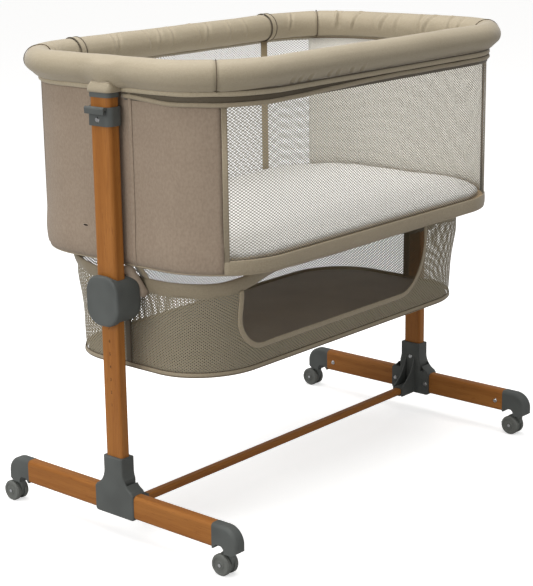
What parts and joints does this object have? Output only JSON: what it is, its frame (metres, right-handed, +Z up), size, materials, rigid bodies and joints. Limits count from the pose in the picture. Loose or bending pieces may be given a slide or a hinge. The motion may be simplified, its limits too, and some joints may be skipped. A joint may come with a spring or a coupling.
{
  "type": "bedside sleeper crib",
  "caption": "Bedside sleeper crib: a fabric cot with mesh sides and a padded rail, hung between sliding height-lock posts on a caster stand, with a storage basket under it.",
  "frame": {"origin": "on the floor, at the centre of the area that the crib covers with its casters trailing to +Y; the posts lie 11 mm to -Y of it and the cot's middle 1 mm", "axes": "+X along the crib to its right end, +Y to its rear side, +Z up; the parent's side with the basket's mouth faces -Y"},
  "size_m": [0.9526, 0.598, 0.861],
  "materials": {
    "wood_grain_tube": "wood-grain film, satin",
    "grey_plastic": "fine-textured grey",
    "caster_plastic": "smooth grey",
    "wheel_plastic": "hard grey wheel",
    "spring_steel": "drawn wire",
    "screw_steel": "zinc plated",
    "frame_tube": "powder coated",
    "taupe_fabric": "tightly woven, satin",
    "panel_fabric": "melange weave",
    "mesh_fabric": "open knitted mesh",
    "mattress_fabric": "soft knit",
    "basket_mesh": "sandwich mesh",
    "basket_floor_fabric": "covered board",
    "board_wood": "plain board"
  },
  "bodies": {
    "base": {"base_bracket_left": "grey_plastic", "base_bracket_right": "grey_plastic", "base_screws": "screw_steel", "cross_bar": "wood_grain_tube", "end_cap_front_left": "grey_plastic", "end_cap_front_right": "grey_plastic", "end_cap_rear_left": "grey_plastic", "end_cap_rear_right": "grey_plastic", "foot_beam_left": "wood_grain_tube", "foot_beam_right": "wood_grain_tube", "lower_post_left": "wood_grain_tube", "lower_post_right": "wood_grain_tube"},
    "crib": {"basket_floor": "basket_floor_fabric", "basket_rim": "taupe_fabric", "basket_straps": "taupe_fabric", "basket_trim": "taupe_fabric", "basket_wall": "basket_mesh", "crib_screws": "screw_steel", "end_panel_left": "panel_fabric", "end_panel_right": "panel_fabric", "floor_frame": "frame_tube", "front_mesh": "mesh_fabric", "hub_housing_left": "grey_plastic", "hub_housing_right": "grey_plastic", "lock_spring_left": "spring_steel", "lock_spring_right": "spring_steel", "mattress": "mattress_fabric", "mattress_board": "board_wood", "mesh_bindings": "taupe_fabric", "post_glide_left": "grey_plastic", "post_glide_right": "grey_plastic", "rail_pad": "taupe_fabric", "rail_tube": "frame_tube", "rear_mesh": "mesh_fabric", "strap_clip_left": "grey_plastic", "strap_clip_right": "grey_plastic", "top_cap_left": "grey_plastic", "top_cap_right": "grey_plastic", "upper_post_left": "wood_grain_tube", "upper_post_right": "wood_grain_tube"},
    "lock_left": {"lock_button_left": "grey_plastic", "lock_yoke_left": "grey_plastic"},
    "lock_right": {"lock_button_right": "grey_plastic", "lock_yoke_right": "grey_plastic"},
    "caster_front_left": {"caster_frame_front_left": "caster_plastic"},
    "wheel_outer_front_left": {"wheel_outer_front_left": "wheel_plastic"},
    "wheel_inner_front_left": {"wheel_inner_front_left": "wheel_plastic"},
    "brake_front_left": {"brake_lever_front_left": "grey_plastic"},
    "caster_front_right": {"caster_frame_front_right": "caster_plastic"},
    "wheel_outer_front_right": {"wheel_outer_front_right": "wheel_plastic"},
    "wheel_inner_front_right": {"wheel_inner_front_right": "wheel_plastic"},
    "brake_front_right": {"brake_lever_front_right": "grey_plastic"},
    "caster_rear_left": {"caster_frame_rear_left": "caster_plastic"},
    "wheel_outer_rear_left": {"wheel_outer_rear_left": "wheel_plastic"},
    "wheel_inner_rear_left": {"wheel_inner_rear_left": "wheel_plastic"},
    "brake_rear_left": {"brake_lever_rear_left": "grey_plastic"},
    "caster_rear_right": {"caster_frame_rear_right": "caster_plastic"},
    "wheel_outer_rear_right": {"wheel_outer_rear_right": "wheel_plastic"},
    "wheel_inner_rear_right": {"wheel_inner_rear_right": "wheel_plastic"},
    "brake_rear_right": {"brake_lever_rear_right": "grey_plastic"}
  },
  "joints": [
    {"name": "crib_height", "type": "slide", "parent": "base", "child": "crib", "axis": [0, 0, 1], "range_m": [-0.1398, 0]},
    {"name": "lock_press_left", "type": "slide", "parent": "crib", "child": "lock_left", "axis": [1, 0, 0], "range_m": [0, 0.005], "stiffness_N_per_m": 800, "springref_m": -0.002, "deforming": ["lock_spring_left"]},
    {"name": "lock_press_right", "type": "slide", "parent": "crib", "child": "lock_right", "axis": [-1, 0, 0], "range_m": [0, 0.005], "stiffness_N_per_m": 800, "springref_m": -0.002, "deforming": ["lock_spring_right"]},
    {"name": "swivel_front_left", "type": "hinge", "parent": "base", "child": "caster_front_left", "pos_m": [-0.45, -0.278, 0.055], "axis": [0, 0, 1], "continuous": true},
    {"name": "wheel_outer_front_left", "type": "hinge", "parent": "caster_front_left", "child": "wheel_outer_front_left", "pos_m": [-0.4592, -0.262, 0.0195], "axis": [1, 0, 0], "continuous": true},
    {"name": "wheel_inner_front_left", "type": "hinge", "parent": "caster_front_left", "child": "wheel_inner_front_left", "pos_m": [-0.4408, -0.262, 0.0195], "axis": [1, 0, 0], "continuous": true},
    {"name": "brake_front_left", "type": "hinge", "parent": "caster_front_left", "child": "brake_front_left", "pos_m": [-0.45, -0.2525, 0.0275], "axis": [1, 0, 0], "range_deg": [-12, 0]},
    {"name": "swivel_front_right", "type": "hinge", "parent": "base", "child": "caster_front_right", "pos_m": [0.45, -0.278, 0.055], "axis": [0, 0, 1], "continuous": true},
    {"name": "wheel_outer_front_right", "type": "hinge", "parent": "caster_front_right", "child": "wheel_outer_front_right", "pos_m": [0.4592, -0.262, 0.0195], "axis": [1, 0, 0], "continuous": true},
    {"name": "wheel_inner_front_right", "type": "hinge", "parent": "caster_front_right", "child": "wheel_inner_front_right", "pos_m": [0.4408, -0.262, 0.0195], "axis": [1, 0, 0], "continuous": true},
    {"name": "brake_front_right", "type": "hinge", "parent": "caster_front_right", "child": "brake_front_right", "pos_m": [0.45, -0.2525, 0.0275], "axis": [1, 0, 0], "range_deg": [-12, 0]},
    {"name": "swivel_rear_left", "type": "hinge", "parent": "base", "child": "caster_rear_left", "pos_m": [-0.45, 0.256, 0.055], "axis": [0, 0, 1], "continuous": true},
    {"name": "wheel_outer_rear_left", "type": "hinge", "parent": "caster_rear_left", "child": "wheel_outer_rear_left", "pos_m": [-0.4592, 0.272, 0.0195], "axis": [1, 0, 0], "continuous": true},
    {"name": "wheel_inner_rear_left", "type": "hinge", "parent": "caster_rear_left", "child": "wheel_inner_rear_left", "pos_m": [-0.4408, 0.272, 0.0195], "axis": [1, 0, 0], "continuous": true},
    {"name": "brake_rear_left", "type": "hinge", "parent": "caster_rear_left", "child": "brake_rear_left", "pos_m": [-0.45, 0.2815, 0.0275], "axis": [1, 0, 0], "range_deg": [-12, 0]},
    {"name": "swivel_rear_right", "type": "hinge", "parent": "base", "child": "caster_rear_right", "pos_m": [0.45, 0.256, 0.055], "axis": [0, 0, 1], "continuous": true},
    {"name": "wheel_outer_rear_right", "type": "hinge", "parent": "caster_rear_right", "child": "wheel_outer_rear_right", "pos_m": [0.4592, 0.272, 0.0195], "axis": [1, 0, 0], "continuous": true},
    {"name": "wheel_inner_rear_right", "type": "hinge", "parent": "caster_rear_right", "child": "wheel_inner_rear_right", "pos_m": [0.4408, 0.272, 0.0195], "axis": [1, 0, 0], "continuous": true},
    {"name": "brake_rear_right", "type": "hinge", "parent": "caster_rear_right", "child": "brake_rear_right", "pos_m": [0.45, 0.2815, 0.0275], "axis": [1, 0, 0], "range_deg": [-12, 0]}
  ]
}
